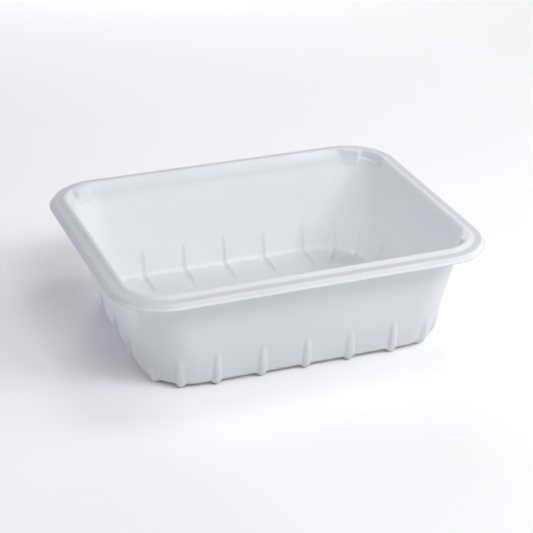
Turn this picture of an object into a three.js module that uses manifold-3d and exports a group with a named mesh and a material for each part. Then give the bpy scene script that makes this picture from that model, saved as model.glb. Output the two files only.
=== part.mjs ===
// Rectangular food tray, thermoformed in one piece from a thin sheet of white plastic.
// Millimetres, +Z up. The origin lies under the middle of the tray, on the plane its feet stand on.
// X runs along the long side and Y along the short side.
import * as THREE from 'three';
import { mergeVertices } from 'three/addons/utils/BufferGeometryUtils.js';
import Module from 'manifold-3d';

const wasm = await Module();
wasm.setup();

// Driving dimensions
const overallLength = 227;
const overallWidth = 178;
const bodyDepth = 63.4;
const sheet = 0.7;

// Flange: a flared skirt, a flat ledge for the lid or film, and a raised bead round the mouth
const flangeCornerRadius = 32.8;
const skirtDepth = 3.05;
const skirtFlare = 1.2;
const lipBreadth = 0.95;
const lipRise = 0.45;
const edgeRound = 0.7;
const ledgeBreadth = 4.3;
const beadRise = 1.7;
const beadRampRun = 2.15;
const beadCrest = 1.95;
const beadRound = 0.4;
const crestRound = 1.2;

// Upper band: the wall flares outwards to the bead
const bandDrop = 5.9;
const bandStep = 2.95;

// Stacking stops in the band's corners: a lug fills one half of each and a pocket widens the other
const lugAngle = 41;
const lugStepAngle = 4;
const lugReach = 2.9;
const pocketFootDrop = 5.1;

// Walls and floor, measured on the outside where each wall line would meet the floor's underside
const floorLength = 180.6;
const floorWidth = 139.5;
const floorCornerRadius = 29.4;
const heelRadius = 3.4;

// Ribs that swell out of the lower wall, turn under the heel and run on below the floor as feet
const ribPitch = 27;
const ribsOnLongSide = 5;
const ribsOnShortSide = 3;
const ribTipHeight = 19;
const ribHalfWidth = 3.3;
const ribDepth = 3.6;
const ribProjection = 1.9;
const ribFullness = 2.6;
const footDrop = 1.9;
const footLength = 24;
const cornerRibs = [
  { angle: 28, footLength: 25 },
  { angle: 60, footLength: 18 },
];

// Smoothness of the faceted surfaces
const cornerSteps = 7;
const heelSteps = 4;
const crestSteps = 3;
const pocketSteps = 4;
const ribSectionSteps = 6;
const ribHeelSteps = 3;
const ribFadeShares = [0.5, 0.78, 0.94, 1.12];
const overrun = 1;

const floorZ = footDrop;
const ledgeZ = floorZ + bodyDepth;
const crestZ = ledgeZ + beadRise;
const ledgeInset = skirtFlare + lipBreadth;
const crestInset = ledgeInset + ledgeBreadth + beadRampRun;
const mouthInset = crestInset + beadCrest;
const wallInset = mouthInset + bandStep - sheet;

const lerp = THREE.MathUtils.lerp;
const radians = THREE.MathUtils.degToRad;

// Plan outlines are rounded rectangles: half length, half width and corner radius

// The flange's outline, moved inwards by an inset
function flangePlan(inset) {
  return {
    x: overallLength / 2 - inset,
    y: overallWidth / 2 - inset,
    radius: flangeCornerRadius - inset,
  };
}

// The outer face of the wall at a height above the floor's underside
function wallPlan(height) {
  const top = flangePlan(wallInset);
  const share = height / bodyDepth;
  return {
    x: lerp(floorLength / 2, top.x, share),
    y: lerp(floorWidth / 2, top.y, share),
    radius: lerp(floorCornerRadius, top.radius, share),
  };
}

function shrink(plan, distance) {
  return { x: plan.x - distance, y: plan.y - distance, radius: plan.radius - distance };
}

// A ring of points round a plan outline at one height
function ring(plan, z) {
  const { x, y, radius } = plan;
  const outline = new THREE.Path();
  outline.absarc(x - radius, y - radius, radius, 0, Math.PI / 2);
  outline.absarc(radius - x, y - radius, radius, Math.PI / 2, Math.PI);
  outline.absarc(radius - x, radius - y, radius, Math.PI, Math.PI * 1.5);
  outline.absarc(x - radius, radius - y, radius, Math.PI * 1.5, Math.PI * 2);
  return outline.getPoints(cornerSteps).map((point) => new THREE.Vector3(point.x, point.y, z));
}

// Quads between rings of equal length, as triangles
function skin(rings, closed) {
  const triangles = [];
  const bands = closed ? rings.length : rings.length - 1;
  for (let band = 0; band < bands; band += 1) {
    const low = rings[band];
    const high = rings[(band + 1) % rings.length];
    for (let i = 0; i < low.length; i += 1) {
      const next = (i + 1) % low.length;
      triangles.push(low[i], low[next], high[next], low[i], high[next], high[i]);
    }
  }
  return triangles;
}

function cap(points, faceUp) {
  const triangles = [];
  for (let i = 1; i < points.length - 1; i += 1) {
    const pair = faceUp ? [points[i], points[i + 1]] : [points[i + 1], points[i]];
    triangles.push(points[0], ...pair);
  }
  return triangles;
}

function solid(geometry) {
  geometry.deleteAttribute('normal');
  geometry.deleteAttribute('uv');
  const merged = mergeVertices(geometry, 1e-5);
  const mesh = new wasm.Mesh({
    numProp: 3,
    vertProperties: new Float32Array(merged.attributes.position.array),
    triVerts: new Uint32Array(merged.index.array),
  });
  return new wasm.Manifold(mesh);
}

// A solid lofted through rings from the lowest to the highest, with flat ends
function loft(rings) {
  const triangles = [
    ...cap(rings[0], false),
    ...skin(rings, false),
    ...cap(rings[rings.length - 1], true),
  ];
  return solid(new THREE.BufferGeometry().setFromPoints(triangles));
}

// Height and inset of points round an arc that turns from the floor into a wall
function heelRings(radius, lift, distance) {
  const rings = [];
  for (let step = 0; step <= heelSteps; step += 1) {
    const turn = (step / heelSteps) * Math.PI / 2;
    const height = lift + radius * (1 - Math.cos(turn));
    const plan = shrink(wallPlan(height), distance + radius * (1 - Math.sin(turn)));
    rings.push(ring(plan, floorZ + height));
  }
  return rings;
}

// The wall's upper end, where it starts to flare out. The offset moves it outwards.
function bandFoot(offset) {
  const height = crestZ - bandDrop - floorZ;
  return ring(shrink(wallPlan(height), sheet - offset), floorZ + height);
}

// Everything inside the outer face, filled
function outerForm() {
  return loft([
    ...heelRings(heelRadius, 0, 0),
    bandFoot(sheet),
    ring(flangePlan(mouthInset - sheet), crestZ - crestRound),
    ring(flangePlan(mouthInset - sheet), crestZ - sheet / 2),
  ]);
}

// The space inside the tray
function cavityForm() {
  const crest = [];
  for (let step = 0; step <= crestSteps; step += 1) {
    const turn = (step / crestSteps) * Math.PI / 2;
    const inset = mouthInset - crestRound * (1 - Math.cos(turn));
    crest.push(ring(flangePlan(inset), crestZ - crestRound * (1 - Math.sin(turn))));
  }
  return loft([
    ...heelRings(heelRadius - sheet, sheet, sheet),
    bandFoot(0),
    ...crest,
    ring(flangePlan(mouthInset - crestRound), crestZ + overrun),
  ]);
}

// A polyline moved sideways by a distance, to the right of its direction
function offsetLine(points, distance) {
  return points.map((point, i) => {
    const before = points[Math.max(i - 1, 0)];
    const after = points[Math.min(i + 1, points.length - 1)];
    const into = new THREE.Vector2().subVectors(point, before).normalize();
    const out = new THREE.Vector2().subVectors(after, point).normalize();
    const along = into.clone().add(out).normalize();
    const side = new THREE.Vector2(along.y, -along.x);
    const straight = i === 0 ? out : into;
    const stretch = 1 / Math.max(side.dot(new THREE.Vector2(straight.y, -straight.x)), 0.5);
    return point.clone().addScaledVector(side, distance * stretch);
  });
}

// The flange's section from the lip to the crest, as insets and heights, swept round the tray
function flange() {
  const ramp = ledgeInset + ledgeBreadth;
  const upper = [
    [0, ledgeZ - skirtDepth],
    [lipBreadth, ledgeZ - skirtDepth + lipRise],
    [ledgeInset - edgeRound / 4, ledgeZ - edgeRound],
    [ledgeInset + edgeRound / 4, ledgeZ - edgeRound / 4],
    [ledgeInset + edgeRound, ledgeZ],
    [ramp - beadRound, ledgeZ],
    [ramp + beadRound, ledgeZ + beadRound],
    [crestInset - beadRound, crestZ - beadRound],
    [crestInset + beadRound, crestZ],
    [mouthInset + sheet, crestZ],
  ].map(([inset, z]) => new THREE.Vector2(inset, z));
  const lower = offsetLine(upper, sheet);
  const section = [...upper, ...lower.reverse()];
  const rings = section.map((point) => ring(flangePlan(point.x), point.y));
  return solid(new THREE.BufferGeometry().setFromPoints(skin(rings, true)));
}

// A point near a corner, by its angle from the normal of the side that carries the lug.
// The lugs stand on the long sides' halves at the back and on the short sides' halves at the front.
function cornerPoint(end, side, angle, radius) {
  const centre = flangePlan(0);
  const turn = radians(side > 0 ? angle : 90 - angle);
  return new THREE.Vector2(
    end * (centre.x - centre.radius + radius * Math.sin(turn)),
    side * (centre.y - centre.radius + radius * Math.cos(turn)),
  );
}

function prism(outline, low, high) {
  const shape = new THREE.Shape(outline);
  const geometry = new THREE.ExtrudeGeometry(shape, { depth: high - low, bevelEnabled: false });
  return solid(geometry.translate(0, 0, low));
}

const mouthRadius = flangeCornerRadius - mouthInset;
const sheetAngle = THREE.MathUtils.radToDeg(sheet / mouthRadius);

// A wedge that grows from nothing at the side to its tip, with its faces moved outwards by a gap
function lug(end, side, gap, low, high) {
  const turnBack = gap > 0 ? sheetAngle : 0;
  const step = lugAngle + lugStepAngle - turnBack;
  const beyond = mouthRadius + 2 * sheet + crestRound;
  const outline = [
    cornerPoint(end, side, 0, mouthRadius + gap),
    cornerPoint(end, side, lugAngle - turnBack, mouthRadius - lugReach + gap),
    cornerPoint(end, side, step, mouthRadius + gap),
    cornerPoint(end, side, step, beyond),
    cornerPoint(end, side, lugAngle / 2, beyond),
    cornerPoint(end, side, 0, beyond),
  ];
  return prism(outline, low, high);
}

// The recess beside a lug, with an upright wall, grown by a gap
function pocket(end, side, gap, low, high) {
  const start = lugAngle + lugStepAngle - (gap > 0 ? sheetAngle : 0);
  const inner = mouthRadius - lugReach - sheet;
  const finish = 90 - (gap > 0 ? 0 : sheetAngle);
  const outline = [cornerPoint(end, side, start, inner)];
  for (let step = 0; step <= pocketSteps; step += 1) {
    const angle = lerp(start, finish, step / pocketSteps);
    outline.push(cornerPoint(end, side, angle, mouthRadius + gap));
  }
  outline.push(cornerPoint(end, side, finish, inner));
  return prism(outline, low, high);
}

// How far the wall's outer face lies from a point, along a direction in plan
function reach(origin, direction, height) {
  const { x, y, radius } = wallPlan(height);
  const endSign = Math.sign(direction.x || origin.x);
  const sideSign = Math.sign(direction.y || origin.y);
  const toEnd = (endSign * x - origin.x) / direction.x;
  const toSide = (sideSign * y - origin.y) / direction.y;
  const end = origin.clone().addScaledVector(direction, toEnd);
  if (direction.x !== 0 && Math.abs(end.y) <= y - radius) return toEnd;
  const side = origin.clone().addScaledVector(direction, toSide);
  if (direction.y !== 0 && Math.abs(side.x) <= x - radius) return toSide;
  const centre = new THREE.Vector2(endSign * (x - radius), sideSign * (y - radius));
  const offset = centre.sub(origin);
  const along = offset.dot(direction);
  return along + Math.sqrt(radius ** 2 - (offset.lengthSq() - along ** 2));
}

// How much of a rib's projection is left at a share of the way to its end
function fade(share) {
  return 1 - share ** ribFullness;
}

// The crest line of a rib, from above its tip, down the wall, round the heel and along the foot.
// Each station has a distance out from the rib's origin, a height and a normal.
function ribStations(origin, direction, length) {
  const stations = [];
  const add = (u, height, turn) => {
    const normal = new THREE.Vector2(Math.cos(turn), -Math.sin(turn));
    stations.push({ u, z: floorZ + height, normal });
  };
  const base = reach(origin, direction, 0);
  const draft = Math.atan2(reach(origin, direction, ribTipHeight) - base, ribTipHeight);
  for (const share of [...ribFadeShares].reverse()) {
    const height = ribTipHeight * share;
    add(reach(origin, direction, height) + ribProjection * fade(share), height, draft);
  }
  const radius = heelRadius + ribProjection;
  const arcHeight = radius - footDrop;
  const arcReach = base + heelRadius * Math.tan(draft) - heelRadius;
  for (let step = 0; step <= ribHeelSteps; step += 1) {
    const turn = lerp(draft, Math.PI / 2, step / ribHeelSteps);
    add(arcReach + radius * Math.cos(turn), arcHeight - radius * Math.sin(turn), turn);
  }
  for (const share of ribFadeShares.slice(1)) {
    add(base - length * share, -footDrop * fade(share), Math.PI / 2);
  }
  return stations;
}

// One rib as a solid bar with a half-elliptical section. The inset thins it by the sheet.
function ribBar(origin, direction, length, inset) {
  const halfWidth = ribHalfWidth - inset;
  const depth = ribDepth - inset;
  const sideways = new THREE.Vector3(-direction.y, direction.x, 0);
  const stations = ribStations(origin, direction, length);
  const rings = stations.map(({ u, z, normal }) => {
    const points = [];
    for (let step = 0; step <= ribSectionSteps; step += 1) {
      const turn = (step / ribSectionSteps - 0.5) * Math.PI;
      const out = depth * Math.cos(turn) - ribDepth;
      const across = halfWidth * Math.sin(turn);
      const distance = u + out * normal.x;
      const point = new THREE.Vector3(
        origin.x + direction.x * distance,
        origin.y + direction.y * distance,
        z + out * normal.y,
      );
      points.push(point.addScaledVector(sideways, across));
    }
    return points;
  });
  const triangles = [
    ...cap(rings[0], true),
    ...skin(rings, false).reverse(),
    ...cap(rings[rings.length - 1], false),
  ];
  return solid(new THREE.BufferGeometry().setFromPoints(triangles));
}

// Where each rib starts in plan, and which way it faces
function ribLines() {
  const lines = [];
  const along = (count, step) => (step - (count - 1) / 2) * ribPitch;
  for (const side of [-1, 1]) {
    for (let step = 0; step < ribsOnLongSide; step += 1) {
      const origin = new THREE.Vector2(along(ribsOnLongSide, step), 0);
      lines.push({ origin, direction: new THREE.Vector2(0, side), footLength });
    }
    for (let step = 0; step < ribsOnShortSide; step += 1) {
      const origin = new THREE.Vector2(0, along(ribsOnShortSide, step));
      lines.push({ origin, direction: new THREE.Vector2(side, 0), footLength });
    }
  }
  const centre = new THREE.Vector2(
    floorLength / 2 - floorCornerRadius,
    floorWidth / 2 - floorCornerRadius,
  );
  for (const end of [-1, 1]) {
    for (const side of [-1, 1]) {
      for (const rib of cornerRibs) {
        const turn = radians(rib.angle);
        lines.push({
          origin: new THREE.Vector2(centre.x * end, centre.y * side),
          direction: new THREE.Vector2(Math.sin(turn) * end, Math.cos(turn) * side),
          footLength: rib.footLength,
        });
      }
    }
  }
  return lines;
}

function trayGeometry() {
  let outside = outerForm();
  let inside = cavityForm();
  const pocketFoot = crestZ - pocketFootDrop;
  const bandFootZ = crestZ - bandDrop - overrun;
  for (const end of [-1, 1]) {
    for (const side of [-1, 1]) {
      outside = outside.add(pocket(end, side, sheet, pocketFoot - sheet, crestZ - sheet / 2));
      outside = outside.subtract(lug(end, side, sheet, bandFootZ, crestZ - crestRound - sheet));
      inside = inside.add(pocket(end, side, 0, pocketFoot, crestZ - crestRound));
      inside = inside.subtract(lug(end, side, 0, bandFootZ, crestZ - sheet / 2));
    }
  }
  outside = outside.add(flange());
  for (const line of ribLines()) {
    outside = outside.add(ribBar(line.origin, line.direction, line.footLength, 0));
    inside = inside.add(ribBar(line.origin, line.direction, line.footLength, sheet));
  }
  const mesh = outside.subtract(inside).getMesh();
  const geometry = new THREE.BufferGeometry();
  geometry.setAttribute('position', new THREE.BufferAttribute(mesh.vertProperties, 3));
  geometry.setIndex(new THREE.BufferAttribute(mesh.triVerts, 1));
  geometry.computeVertexNormals();
  return geometry;
}

const whitePlastic = new THREE.MeshStandardMaterial({
  color: 0xe6e7ec,
  roughness: 0.38,
  metalness: 0,
});

const tray = new THREE.Mesh(trayGeometry(), whitePlastic);
tray.name = 'tray';

const part = new THREE.Group();
part.add(tray);

export default part;
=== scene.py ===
"""Rectangular food tray in thermoformed white plastic.

A fine skin of the whole tray stands for the CAD solid, lit and seen as in the photograph.
"""
import math

import bpy
import numpy as np
from mathutils import Matrix, Vector


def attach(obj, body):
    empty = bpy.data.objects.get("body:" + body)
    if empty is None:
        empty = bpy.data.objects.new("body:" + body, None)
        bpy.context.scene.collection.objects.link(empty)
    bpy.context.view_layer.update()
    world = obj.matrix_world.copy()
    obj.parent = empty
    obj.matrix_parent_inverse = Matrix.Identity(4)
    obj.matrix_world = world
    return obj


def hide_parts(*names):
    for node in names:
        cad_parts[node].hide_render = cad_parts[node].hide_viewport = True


MM = 0.001

# Tray sizes in millimetres and angles in degrees, the same as the CAD solid's
OVERALL = (227.0, 178.0)
BODY_DEPTH = 63.4
SHEET = 0.7
FLANGE_RADIUS = 32.8
SKIRT_DEPTH, SKIRT_FLARE = 3.05, 1.2
LIP_BREADTH, LIP_RISE = 0.95, 0.45
LEDGE_BREADTH = 4.3
BEAD_RISE, BEAD_RAMP, BEAD_CREST = 1.7, 2.15, 1.95
BAND_DROP, BAND_STEP = 5.9, 2.95
CREST_ROUND = 1.2
LUG_ANGLE, LUG_STEP_ANGLE, LUG_REACH = 41.0, 4.0, 2.9
POCKET_FOOT_DROP = 5.1
FLOOR = (180.6, 139.5)
FLOOR_RADIUS = 29.4
HEEL_RADIUS = 3.4
RIB_PITCH, RIB_TIP = 27.0, 19.0
RIB_HALF_WIDTH, RIB_DEPTH = 3.3, 3.6
RIB_PROJECTION, RIB_FULLNESS = 1.9, 2.6
FOOT_LENGTH = 24.0
LONG_SIDE_RIBS, SHORT_SIDE_RIBS = 2, 1  # on each side of the middle rib
CORNER_RIBS = ((28.0, 25.0), (60.0, 18.0))  # angle from the long side's normal, and foot length

# Heights above the ground, and insets from the tray's outermost outline
FLOOR_Z = RIB_PROJECTION
LEDGE_Z = FLOOR_Z + BODY_DEPTH
CREST_Z = LEDGE_Z + BEAD_RISE
WALL_HEIGHT = CREST_Z - BAND_DROP - FLOOR_Z
POCKET_FOOT_Z = CREST_Z - POCKET_FOOT_DROP
LEDGE_INSET = SKIRT_FLARE + LIP_BREADTH
CREST_INSET = LEDGE_INSET + LEDGE_BREADTH + BEAD_RAMP
MOUTH_INSET = CREST_INSET + BEAD_CREST
MOUTH_RADIUS = FLANGE_RADIUS - MOUTH_INSET
INNER_HEEL = HEEL_RADIUS - SHEET

# Roundings and soft edges of the skin, in millimetres and degrees
BEND_START = 4.0  # below the top of the wall
BEND_SIZES = (4.0, 2.2, 1.1, 0.9, 1.0, 0.9)  # from the wall's top over the bead to the lip
BEND_EDGE_SHARE = 0.48  # the most of an edge that a bend may take
STOP_MARGIN = 3.0  # below the top of the wall, where the lugs start
POCKET_FOOT_SOFTNESS = 0.5  # the height over which a pocket's foot steps out
POCKET_END_ANGLE = 2.0  # over which a pocket closes beside the straight side
RIB_SOFTNESS = 0.12
RIB_MARGIN, RIB_OVERRUN = 1.3, 1.2  # how far out a rib is followed, as shares of its size
LEDGE_SHADE_FADE = 0.4  # the height over which the painted shade on the ledge fades

# Rows of the skin, from the middle of the floor up the wall: insets and margins, then counts
FEET_INSETS, FEET_ROWS = (27.6, 11.6), 19
HEEL_APPROACH, HEEL_GAP, HEEL_APPROACH_ROWS = 9.0, 0.6, 4
HEEL_ROWS = 9
RIB_ROW_MARGIN, RIB_ROWS = 1.0, 16
PLAIN_ROW_MARGIN, PLAIN_ROWS = 5.0, 5
BEND_STEPS = 4
POCKET_FOOT_ROWS = (-0.3, 0.0, 0.3)

# Columns of the skin, round a quarter of the tray
RIB_REACH, RIB_COLUMNS = 1.18, 15  # share of a rib's half width, and columns across it
GAP_SHARES = (0.25, 0.5, 0.75)  # of the pitch between two ribs
LONG_SAMPLED, SHORT_SAMPLED = 58.6, 36.0  # how much of half a side has fixed columns
STRETCH_SHARES = (0.34, 0.67)  # of what is left, up to where the corner starts
CORNER_COLUMNS = 43
STEP_ANGLES = (39.5, 40.6, 41.2, 42.3, 43.6, 44.8, 45.6, 47.0)  # across the lug's step

# White plastic, with painted shade on the ledge
PLASTIC_TONES = ((0.3, (0.887, 0.893, 0.913, 1)), (0.7, (0.907, 0.912, 0.930, 1)))
PLASTIC_CLOUD_SCALE, PLASTIC_CLOUD_DETAIL = 24.0, 3.0
PLASTIC_ROUGHNESS = (0.29, 0.36)
PLASTIC_IOR = 1.49
# Painted shade: the flat sealing ledge's colour is multiplied darker, standing in for the shade
# it takes under the lights
LEDGE_PAINTED_SHADE = (0.83, 0.83, 0.83, 1)
GRAIN_SCALE, GRAIN_DETAIL = 160.0, 2.0
GRAIN_STRENGTH, GRAIN_DISTANCE = 0.02, 0.0004
GLOW_COLOUR, GLOW_SHARE = (0.93, 0.935, 0.955, 1), 0.42

# Pale ground
GROUND_TONES = ((0.0, (0.94, 0.94, 0.94, 1)), (1.0, (0.97, 0.97, 0.97, 1)))
GROUND_CLOUD_SCALE, GROUND_CLOUD_DETAIL = 3.0, 2.0
GROUND_ROUGHNESS = 0.8
GROUND_HALF_SIDE = 6.0

# Soft panels round the tray: name, place in metres, power in watts and tint.
# The ones with a name in _low show in no reflection: they only glow through the sheet.
NEUTRAL, COOL = (1.0, 1.0, 1.0), (0.86, 0.83, 1.0)
PANELS = (
    ("front_high", (0.0, -0.7, 1.0), 4.4, NEUTRAL),
    ("front_middle", (0.2, -1.0, 0.6), 0.4, NEUTRAL),
    ("front_right", (0.7, -0.8, 0.9), 7.0, NEUTRAL),
    ("right_high", (0.9, -0.1, 0.9), 1.4, NEUTRAL),
    ("right_low", (1.2, -0.1, 0.3), 4.4, NEUTRAL),
    ("left_high", (-0.9, -0.1, 0.9), 2.0, COOL),
    ("back_left_low", (-0.8, 0.9, 0.3), 3.6, COOL),
    ("overhead", (0.36, 0.12, 1.1), 2.2, NEUTRAL),
    ("back_low", (0.3, 1.2, 0.25), 8.4, NEUTRAL),
)
PANEL_SIDE = 0.5
PANEL_TARGET = (0, 0, 0.03)
SKY_COLOUR, SKY_STRENGTH = (1, 1, 1, 1), 0.03

# The camera solved from the photograph, in millimetres and degrees
CAMERA_PLACE = (-331.34, -835.07, 480.58)
CAMERA_TARGET = (2.24, -0.90, 32.64)
CAMERA_ROLL = -0.89
CAMERA_LENS, CAMERA_SENSOR = 113.25, 36.0
CAMERA_CLIP = (0.01, 100.0)  # metres


def flange_plan(inset):
    """Half length, half width and corner radius of the flange's outline, moved inwards."""
    return np.array([OVERALL[0] / 2 - inset, OVERALL[1] / 2 - inset, FLANGE_RADIUS - inset])


def wall_plan(height):
    """The same three of the wall's inner face, at a height above the floor's underside."""
    top = flange_plan(MOUTH_INSET + BAND_STEP - SHEET)
    foot = np.array([FLOOR[0] / 2, FLOOR[1] / 2, FLOOR_RADIUS])
    return foot + (top - foot) * (height / BODY_DEPTH) - SHEET


def station(plan, z):
    """A station of the profile: the plan of a ring round the tray, and its height."""
    return np.append(plan, z)


def rounded(stations, sizes, steps):
    """The stations with each inner one turned into a bend of the given size."""
    out = [stations[0]]
    for before, here, after, size in zip(stations, stations[1:], stations[2:], sizes):
        back, ahead = before - here, after - here
        start = here + back * min(BEND_EDGE_SHARE, size / np.linalg.norm(back))
        end = here + ahead * min(BEND_EDGE_SHARE, size / np.linalg.norm(ahead))
        for k in range(steps + 1):
            t = k / steps
            out.append(start * (1 - t) ** 2 + here * 2 * t * (1 - t) + end * t ** 2)
    out.append(stations[-1])
    return out


def lower_profile():
    """Stations from the middle of the floor round the heel and up the wall."""
    base = FLOOR_Z + SHEET
    insets = [
        *np.linspace(*FEET_INSETS, FEET_ROWS),
        *np.linspace(HEEL_APPROACH, INNER_HEEL + HEEL_GAP, HEEL_APPROACH_ROWS),
    ]
    stations = [station(wall_plan(SHEET) - inset, base) for inset in insets]
    for turn in np.linspace(0, math.pi / 2, HEEL_ROWS):
        rise = INNER_HEEL * (1 - math.cos(turn))
        plan = wall_plan(SHEET + rise) - INNER_HEEL * (1 - math.sin(turn))
        stations.append(station(plan, base + rise))
    heights = [
        *np.linspace(SHEET + INNER_HEEL + RIB_ROW_MARGIN, RIB_TIP + RIB_ROW_MARGIN, RIB_ROWS),
        *np.linspace(RIB_TIP + PLAIN_ROW_MARGIN, WALL_HEIGHT - PLAIN_ROW_MARGIN, PLAIN_ROWS),
    ]
    return stations + [station(wall_plan(height), FLOOR_Z + height) for height in heights]


def upper_profile():
    """Stations from the top of the wall over the band, the bead and the ledge to the lip."""
    corners = [
        station(wall_plan(WALL_HEIGHT - BEND_START), FLOOR_Z + WALL_HEIGHT - BEND_START),
        station(wall_plan(WALL_HEIGHT), FLOOR_Z + WALL_HEIGHT),
        station(flange_plan(MOUTH_INSET), CREST_Z),
        station(flange_plan(CREST_INSET), CREST_Z),
        station(flange_plan(LEDGE_INSET + LEDGE_BREADTH), LEDGE_Z),
        station(flange_plan(LEDGE_INSET), LEDGE_Z),
        station(flange_plan(LIP_BREADTH), LEDGE_Z - SKIRT_DEPTH + LIP_RISE),
        station(flange_plan(0.0), LEDGE_Z - SKIRT_DEPTH),
    ]
    stations = rounded(corners, BEND_SIZES, BEND_STEPS)
    for offset in POCKET_FOOT_ROWS:
        z = POCKET_FOOT_Z + offset
        after = next(k for k, place in enumerate(stations) if place[3] > z)
        low, high = stations[after - 1], stations[after]
        stations.insert(after, low + (high - low) * (z - low[3]) / (high[3] - low[3]))
    return stations


def has_stops(place):
    """Whether a station of the upper profile lies in the band, which holds lugs and pockets."""
    inside_crest = place[0] < OVERALL[0] / 2 - CREST_INSET
    return place[3] > FLOOR_Z + WALL_HEIGHT - STOP_MARGIN and inside_crest


def lines_of_ribs():
    """Origin, direction and foot length of each rib in plan."""
    lines = []
    for side in (-1, 1):
        for k in range(-LONG_SIDE_RIBS, LONG_SIDE_RIBS + 1):
            lines.append(((k * RIB_PITCH, 0.0), (0.0, side), FOOT_LENGTH))
        for k in range(-SHORT_SIDE_RIBS, SHORT_SIDE_RIBS + 1):
            lines.append(((0.0, k * RIB_PITCH), (side, 0.0), FOOT_LENGTH))
    centre = FLOOR[0] / 2 - FLOOR_RADIUS, FLOOR[1] / 2 - FLOOR_RADIUS
    for end in (-1, 1):
        for side in (-1, 1):
            for angle, foot in CORNER_RIBS:
                a = math.radians(angle)
                direction = (math.sin(a) * end, math.cos(a) * side)
                lines.append(((centre[0] * end, centre[1] * side), direction, foot))
    return lines


def straight_samples(side_ribs, half):
    """Places along half a side: close together across each rib and wide apart between them."""
    across = np.linspace(-RIB_REACH, RIB_REACH, RIB_COLUMNS) * RIB_HALF_WIDTH
    places = [0.0]
    for k in range(side_ribs + 1):
        rib = k * RIB_PITCH
        between = [rib + RIB_PITCH * share for share in GAP_SHARES]
        places += [*(rib + across), *(place for place in between if place < half)]
    return np.unique(np.round([p for p in places if 0 <= p <= half], 4))


def corner_angles():
    """Angles of the columns in a corner: even, and closer together across the lug's step."""
    mirrored = [90 - angle for angle in STEP_ANGLES]
    return np.unique(np.round([*np.linspace(0, 90, CORNER_COLUMNS), *STEP_ANGLES, *mirrored], 3))


LONG_SAMPLES = straight_samples(LONG_SIDE_RIBS, LONG_SAMPLED)
SHORT_SAMPLES = straight_samples(SHORT_SIDE_RIBS, SHORT_SAMPLED)
CORNER_ANGLES = corner_angles()


def stretched(samples, limit):
    """The samples of half a side, and two more that stretch to where the corner starts."""
    last = samples[-1]
    return np.append(samples, [last + (limit - last) * share for share in STRETCH_SHARES])


def chord_radius(angle):
    """Radius of the lug's face at an angle from the normal of its side."""
    tip = math.radians(LUG_ANGLE)
    reach = MOUTH_RADIUS - LUG_REACH
    start, end = (0.0, MOUTH_RADIUS), (reach * math.sin(tip), reach * math.cos(tip))
    line = (end[0] - start[0], end[1] - start[1])
    ray = (math.sin(math.radians(angle)), math.cos(math.radians(angle)))
    return (start[0] * line[1] - start[1] * line[0]) / (ray[0] * line[1] - ray[1] * line[0])


def stop_radius(radius, angle, z):
    """The band's radius in a corner, at an angle from the normal of the side with the lug.

    The lug fills one half of the corner, and the pocket opens the other.
    """
    opened = radius
    if radius < MOUTH_RADIUS:
        share = (z - POCKET_FOOT_Z) / POCKET_FOOT_SOFTNESS + 0.5
        opened += (MOUTH_RADIUS - radius) * min(1.0, max(0.0, share))
    if angle >= LUG_ANGLE + LUG_STEP_ANGLE:
        return radius + (opened - radius) * min(1.0, (90 - angle) / POCKET_END_ANGLE)
    chord = chord_radius(min(angle, LUG_ANGLE))
    if radius < MOUTH_RADIUS:
        filled = min(radius, chord)
    else:
        kept = max(0.0, 1 - (radius - MOUTH_RADIUS) / CREST_ROUND)
        filled = min(radius, radius - (MOUTH_RADIUS - chord) * kept)
    share = min(1.0, max(0.0, (angle - LUG_ANGLE) / LUG_STEP_ANGLE))
    return filled + (opened - filled) * share


def quarter(plan, z, stops, front):
    """A quarter of a ring, from the middle of the long side round to that of the short side."""
    x, y, radius = plan
    points = [(s, y, 0.0, 1.0) for s in stretched(LONG_SAMPLES, x - radius)]
    for degrees in CORNER_ANGLES:
        a = math.radians(degrees)
        sin, cos = math.sin(a), math.cos(a)
        spread = radius
        if stops:
            spread = stop_radius(radius, 90 - degrees if front else degrees, z)
        points.append((x - radius + spread * sin, y - radius + spread * cos, sin, cos))
    points += [(x, s, 1.0, 0.0) for s in stretched(SHORT_SAMPLES, y - radius)[::-1]]
    return points


def ring(place, stops):
    """Points round the tray at one station, with the plan direction that each one faces."""
    plan, z = place[:3], place[3]
    back = quarter(plan, z, stops, False)
    front = quarter(plan, z, stops, True)
    points = list(back)
    points += [(x, -y, u, -v) for x, y, u, v in front[::-1][1:]]
    points += [(-x, -y, -u, -v) for x, y, u, v in front[1:]]
    points += [(-x, y, -u, v) for x, y, u, v in back[::-1][1:-1]]
    return np.array([(x, y, z, u, v) for x, y, u, v in points])


def base_reach(direction):
    """Distance in plan to the foot of the wall's inner face, along a rib from its origin."""
    x, y, radius = wall_plan(0.0)
    if direction[0] == 0:
        return y
    if direction[1] == 0:
        return x
    return radius


def smooth_positive(value, softness):
    """The value where it is positive and 0 where it isn't, with a soft turn between."""
    return 0.5 * (value + np.sqrt(value * value + softness * softness)) - softness / 2


def outward_directions(places, facing):
    """The outward normal of each point of the smooth skin, from the next rings and its facing."""
    along = np.gradient(places, axis=0)
    radial = (along[:, :, :2] * facing).sum(axis=2)
    rise = along[:, :, 2]
    length = np.hypot(radial, rise) + 1e-9  # never 0
    return np.dstack([facing * (rise / length)[:, :, None], -(radial / length)])


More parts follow.
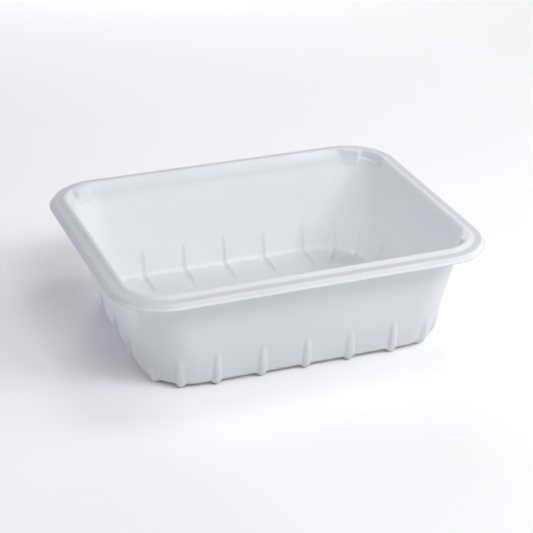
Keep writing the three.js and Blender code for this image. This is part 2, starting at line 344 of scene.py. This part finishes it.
def pushed_out(rings):
    """The points of the rings, with every rib and foot pressed outwards from the sheet."""
    stack = np.array(rings)
    places, facing = stack[:, :, :3], stack[:, :, 3:]
    height = places[:, :, 2] - FLOOR_Z
    half, depth = RIB_HALF_WIDTH - SHEET, RIB_DEPTH - SHEET
    push = np.zeros(height.shape)
    for origin, direction, foot in lines_of_ribs():
        from_origin = places[:, :, :2] - np.array(origin)
        u = from_origin @ np.array(direction)
        v = from_origin @ np.array((-direction[1], direction[0]))
        along_foot = np.clip((base_reach(direction) - u) / foot, 0, RIB_OVERRUN)
        up_wall = np.clip((height - SHEET) / RIB_TIP, 0, RIB_OVERRUN)
        projection = RIB_PROJECTION * (1 - along_foot ** RIB_FULLNESS - up_wall ** RIB_FULLNESS)
        arch = np.sqrt(np.clip(1 - (v / half) ** 2, 0, None))
        bar = projection - depth + depth * arch
        near = (np.abs(v) < half * RIB_MARGIN) & (u > 0)
        push = np.maximum(push, np.where(near, smooth_positive(bar, RIB_SOFTNESS), 0))
    return places + outward_directions(places, facing) * push[:, :, None]


def ledge_shade_share(place):
    """Share of painted shade on the ledge: 1 on the flat sealing ledge and 0 away from it."""
    if place[0] < OVERALL[0] / 2 - CREST_INSET:
        return 0.0
    return max(0.0, 1 - abs(place[3] - LEDGE_Z) / LEDGE_SHADE_FADE)


def tray_skin(name):
    """The tray's inner face as a fine mesh, thickened outwards by the sheet."""
    lower, upper = lower_profile(), upper_profile()
    rings = [ring(place, False) for place in lower]
    rings += [ring(place, has_stops(place)) for place in upper]
    places = pushed_out(rings)
    count = places.shape[1]
    faces = [tuple(range(count - 1, -1, -1))]
    for r in range(len(rings) - 1):
        low, high = r * count, (r + 1) * count
        for i in range(count):
            j = (i + 1) % count
            faces.append((low + i, low + j, high + j, high + i))
    mesh = bpy.data.meshes.new(name)
    mesh.from_pydata([tuple(p * MM) for p in places.reshape(-1, 3)], [], faces)
    mesh.validate()
    mesh.polygons.foreach_set("use_smooth", [True] * len(mesh.polygons))
    # The ledge attribute holds where the ledge gets painted shade
    ledge_shade_shares = np.repeat([ledge_shade_share(place) for place in lower + upper], count)
    mesh.attributes.new("ledge", "FLOAT", "POINT").data.foreach_set("value", ledge_shade_shares)
    obj = bpy.data.objects.new(name, mesh)
    bpy.context.collection.objects.link(obj)
    thick = obj.modifiers.new("sheet", "SOLIDIFY")
    thick.thickness = SHEET * MM
    thick.offset = -1.0
    return obj


def node_material(name):
    """A new node material, with its nodes, its links and its main shader."""
    mat = bpy.data.materials.new(name)
    mat.use_nodes = True
    nodes, links = mat.node_tree.nodes, mat.node_tree.links
    return mat, nodes, links, nodes["Principled BSDF"]


def noise(nodes, scale, detail):
    """A noise texture of the given scale and detail."""
    texture = nodes.new("ShaderNodeTexNoise")
    texture.inputs["Scale"].default_value = scale
    texture.inputs["Detail"].default_value = detail
    return texture


def tone_ramp(nodes, stops):
    """A colour ramp between two stops, each with its place and colour."""
    ramp = nodes.new("ShaderNodeValToRGB")
    for element, (position, colour) in zip(ramp.color_ramp.elements, stops):
        element.position = position
        element.color = colour
    return ramp


def white_plastic():
    """Satin white plastic, faintly mottled, that glows a little, with painted shade darkening the
    ledge.
    """
    mat, nodes, links, shader = node_material("white_plastic")
    where = nodes.new("ShaderNodeTexCoord")
    cloud = noise(nodes, PLASTIC_CLOUD_SCALE, PLASTIC_CLOUD_DETAIL)
    links.new(where.outputs["Object"], cloud.inputs["Vector"])
    tone = tone_ramp(nodes, PLASTIC_TONES)
    links.new(cloud.outputs["Fac"], tone.inputs["Fac"])
    # Painted shade: the colour is multiplied darker where the ledge attribute is set
    ledge = nodes.new("ShaderNodeAttribute")
    ledge.attribute_name = "ledge"
    ledge_shade_mix = nodes.new("ShaderNodeMix")
    ledge_shade_mix.data_type = "RGBA"
    ledge_shade_mix.blend_type = "MULTIPLY"
    ledge_shade_mix.inputs["B"].default_value = LEDGE_PAINTED_SHADE
    links.new(ledge.outputs["Fac"], ledge_shade_mix.inputs["Factor"])
    links.new(tone.outputs["Color"], ledge_shade_mix.inputs["A"])
    links.new(ledge_shade_mix.outputs["Result"], shader.inputs["Base Color"])
    gloss = nodes.new("ShaderNodeMapRange")
    gloss.inputs["To Min"].default_value, gloss.inputs["To Max"].default_value = PLASTIC_ROUGHNESS
    links.new(cloud.outputs["Fac"], gloss.inputs["Value"])
    links.new(gloss.outputs["Result"], shader.inputs["Roughness"])
    shader.inputs["IOR"].default_value = PLASTIC_IOR
    grain = noise(nodes, GRAIN_SCALE, GRAIN_DETAIL)
    links.new(where.outputs["Object"], grain.inputs["Vector"])
    bump = nodes.new("ShaderNodeBump")
    bump.inputs["Strength"].default_value = GRAIN_STRENGTH
    bump.inputs["Distance"].default_value = GRAIN_DISTANCE
    links.new(grain.outputs["Fac"], bump.inputs["Height"])
    links.new(bump.outputs["Normal"], shader.inputs["Normal"])
    glow = nodes.new("ShaderNodeBsdfTranslucent")
    glow.inputs["Color"].default_value = GLOW_COLOUR
    mix = nodes.new("ShaderNodeMixShader")
    mix.inputs["Fac"].default_value = GLOW_SHARE
    links.new(shader.outputs["BSDF"], mix.inputs[1])
    links.new(glow.outputs["BSDF"], mix.inputs[2])
    links.new(mix.outputs["Shader"], nodes["Material Output"].inputs["Surface"])
    return mat


def pale_floor():
    """A plain pale surface under the tray."""
    mat, nodes, links, shader = node_material("pale_floor")
    cloud = noise(nodes, GROUND_CLOUD_SCALE, GROUND_CLOUD_DETAIL)
    tone = tone_ramp(nodes, GROUND_TONES)
    links.new(cloud.outputs["Fac"], tone.inputs["Fac"])
    links.new(tone.outputs["Color"], shader.inputs["Base Color"])
    shader.inputs["Roughness"].default_value = GROUND_ROUGHNESS
    mesh = bpy.data.meshes.new("pale_floor")
    half = GROUND_HALF_SIDE
    corners = [(-half, -half, 0), (half, -half, 0), (half, half, 0), (-half, half, 0)]
    mesh.from_pydata(corners, [], [(0, 1, 2, 3)])
    mesh.materials.append(mat)
    obj = bpy.data.objects.new("pale_floor", mesh)
    bpy.context.collection.objects.link(obj)
    return obj


def panel(name, place, power, tint):
    """A soft square light that faces the tray."""
    data = bpy.data.lights.new(name, "AREA")
    data.shape = "RECTANGLE"
    data.size = data.size_y = PANEL_SIDE
    data.energy = power
    data.color = tint
    obj = bpy.data.objects.new(name, data)
    bpy.context.collection.objects.link(obj)
    obj.location = place
    aim = Vector(PANEL_TARGET) - Vector(place)
    obj.rotation_mode = "QUATERNION"
    obj.rotation_quaternion = aim.to_track_quat("-Z", "Y")
    obj.visible_camera = False
    obj.visible_glossy = not name.endswith("_low")


def studio():
    """The soft panels, strongest at the front right and behind the tray, and a faint sky."""
    scene = bpy.context.scene
    scene.view_settings.view_transform = "Standard"
    world = bpy.data.worlds.new("studio")
    scene.world = world
    world.use_nodes = True
    sky = world.node_tree.nodes["Background"]
    sky.inputs["Color"].default_value = SKY_COLOUR
    sky.inputs["Strength"].default_value = SKY_STRENGTH
    for name, place, power, tint in PANELS:
        panel(name, place, power, tint)


def photo_camera():
    """The camera solved from the photograph."""
    place = Vector(CAMERA_PLACE) * MM
    target = Vector(CAMERA_TARGET) * MM
    roll = math.radians(CAMERA_ROLL)
    back = (place - target).normalized()
    level = Vector((0, 0, 1)).cross(back).normalized()
    upright = back.cross(level)
    right = level * math.cos(roll) - upright * math.sin(roll)
    up = level * math.sin(roll) + upright * math.cos(roll)
    data = bpy.data.cameras.new("photo")
    data.sensor_width = CAMERA_SENSOR
    data.lens = CAMERA_LENS
    data.clip_start, data.clip_end = CAMERA_CLIP
    obj = bpy.data.objects.new("photo", data)
    bpy.context.collection.objects.link(obj)
    turn = Matrix((right, up, back)).transposed()
    obj.matrix_world = Matrix.Translation(place) @ turn.to_4x4()
    bpy.context.scene.camera = obj


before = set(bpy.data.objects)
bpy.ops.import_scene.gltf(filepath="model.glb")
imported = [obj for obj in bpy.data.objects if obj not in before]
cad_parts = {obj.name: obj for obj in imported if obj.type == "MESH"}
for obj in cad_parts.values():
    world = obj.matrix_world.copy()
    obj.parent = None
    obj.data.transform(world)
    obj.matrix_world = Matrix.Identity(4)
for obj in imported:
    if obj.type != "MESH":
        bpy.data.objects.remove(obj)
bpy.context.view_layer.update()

tray = tray_skin("tray_skin")
tray.data.materials.append(white_plastic())
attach(tray, "root")
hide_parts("tray")

pale_floor()
studio()
photo_camera()
